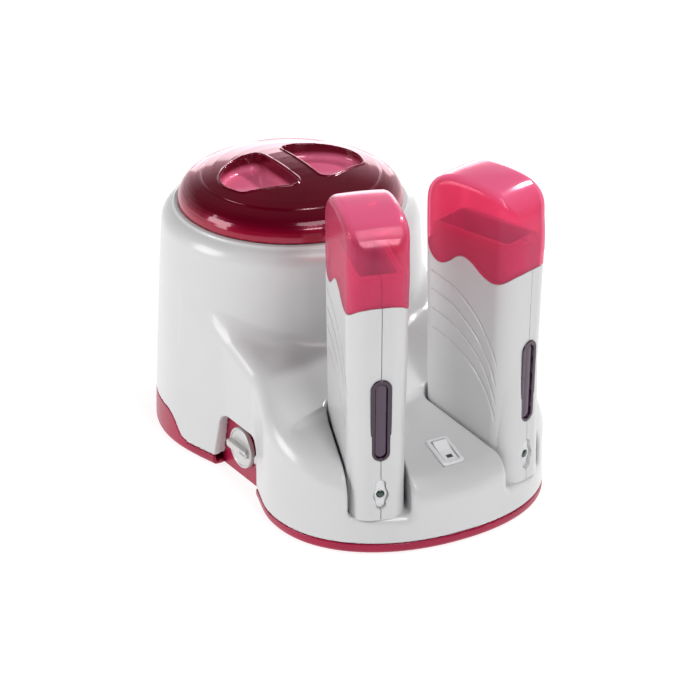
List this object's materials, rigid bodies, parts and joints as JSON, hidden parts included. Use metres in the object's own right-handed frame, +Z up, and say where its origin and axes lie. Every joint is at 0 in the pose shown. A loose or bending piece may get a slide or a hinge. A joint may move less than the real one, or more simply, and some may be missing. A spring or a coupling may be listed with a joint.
{
  "type": "roll on wax heater",
  "caption": "Salon wax heater station: round pot heater with a lift-off lid, and a front dock holding two capped roll-on cartridge heaters.",
  "frame": {"origin": "middle of the footprint, on the surface that the feet stand on", "axes": "+Z up, +Y from the handheld dock towards the wax pot, +X to the right as seen from the front"},
  "size_m": [0.1832, 0.2984, 0.2232],
  "materials": {
    "white_shell": "gloss",
    "berry_plastic": "semi gloss",
    "wine_lid": "translucent, gloss",
    "pink_cap": "translucent, satin",
    "aluminium": "satin",
    "silver_knob": "silver, satin",
    "steel": "satin",
    "silicone": "matte",
    "mica": "matte",
    "insulation": "matte",
    "black_plastic": "satin",
    "circuit_board": "satin",
    "lead_sheath": "matte",
    "rubber": "matte",
    "brass": "satin",
    "window_frame": "gloss",
    "window_smoke": "gloss, smoked",
    "lamp_green": "gloss"
  },
  "bodies": {
    "root": {"base_tray": "berry_plastic", "main_housing": "white_shell", "control_panel": "berry_plastic", "heater_well": "aluminium", "well_gasket": "silicone", "heater_band": "mica", "insulation_sleeve": "insulation", "thermostat_body": "black_plastic", "fuse_holder": "black_plastic", "switch_bezel": "white_shell", "switch_body": "black_plastic", "mains_inlet": "black_plastic", "power_board": "circuit_board", "mains_leads": "lead_sheath", "heater_leads": "lead_sheath", "rubber_feet": "rubber", "base_screws": "steel", "left_dock_block": "black_plastic", "right_dock_block": "black_plastic", "left_dock_pins": "brass", "right_dock_pins": "brass"},
    "thermostat_dial": {"thermostat_shaft": "steel", "thermostat_knob": "silver_knob"},
    "fuse": {"fuse_cap": "silver_knob"},
    "rocker": {"switch_rocker": "white_shell"},
    "pot": {"wax_pot": "aluminium"},
    "lid": {"pot_lid": "wine_lid"},
    "left_handheld": {"left_shell_outer": "white_shell", "left_shell_inner": "white_shell", "left_window_bezel": "window_frame", "left_window_lens": "window_smoke", "left_lamp_insert": "white_shell", "left_lamp_lens": "lamp_green", "left_heating_sleeve": "aluminium", "left_heater_element": "mica", "left_contact_plate": "black_plastic", "left_shell_screws": "steel"},
    "left_cap": {"left_cap": "pink_cap"},
    "right_handheld": {"right_shell_outer": "white_shell", "right_shell_inner": "white_shell", "right_window_bezel": "window_frame", "right_window_lens": "window_smoke", "right_lamp_insert": "white_shell", "right_lamp_lens": "lamp_green", "right_heating_sleeve": "aluminium", "right_heater_element": "mica", "right_contact_plate": "black_plastic", "right_shell_screws": "steel"},
    "right_cap": {"right_cap": "pink_cap"}
  },
  "joints": [
    {"name": "pot_lift", "type": "slide", "parent": "root", "child": "pot", "axis": [0, 0, 1], "range_m": [0, 0.12]},
    {"name": "lid_lift", "type": "slide", "parent": "pot", "child": "lid", "axis": [0, 0, 1], "range_m": [0, 0.08]},
    {"name": "thermostat_turn", "type": "hinge", "parent": "root", "child": "thermostat_dial", "pos_m": [-0.0735, -0.007, 0.0242], "axis": [-1, 0, 0], "range_deg": [0, 270]},
    {"name": "fuse_cap_turn", "type": "hinge", "parent": "root", "child": "fuse", "pos_m": [-0.0735, -0.0263, 0.0216], "axis": [-1, 0, 0], "range_deg": [0, 90]},
    {"name": "switch_rock", "type": "hinge", "parent": "root", "child": "rocker", "pos_m": [0, -0.12391, 0.04928], "axis": [1, 0, 0], "range_deg": [-14, 0]},
    {"name": "left_dock_lift", "type": "slide", "parent": "root", "child": "left_handheld", "axis": [0, 0, 1], "range_m": [0, 0.1]},
    {"name": "left_cap_lift", "type": "slide", "parent": "left_handheld", "child": "left_cap", "axis": [0, 0, 1], "range_m": [0, 0.08]},
    {"name": "right_dock_lift", "type": "slide", "parent": "root", "child": "right_handheld", "axis": [0, 0, 1], "range_m": [0, 0.1]},
    {"name": "right_cap_lift", "type": "slide", "parent": "right_handheld", "child": "right_cap", "axis": [0, 0, 1], "range_m": [0, 0.08]}
  ]
}
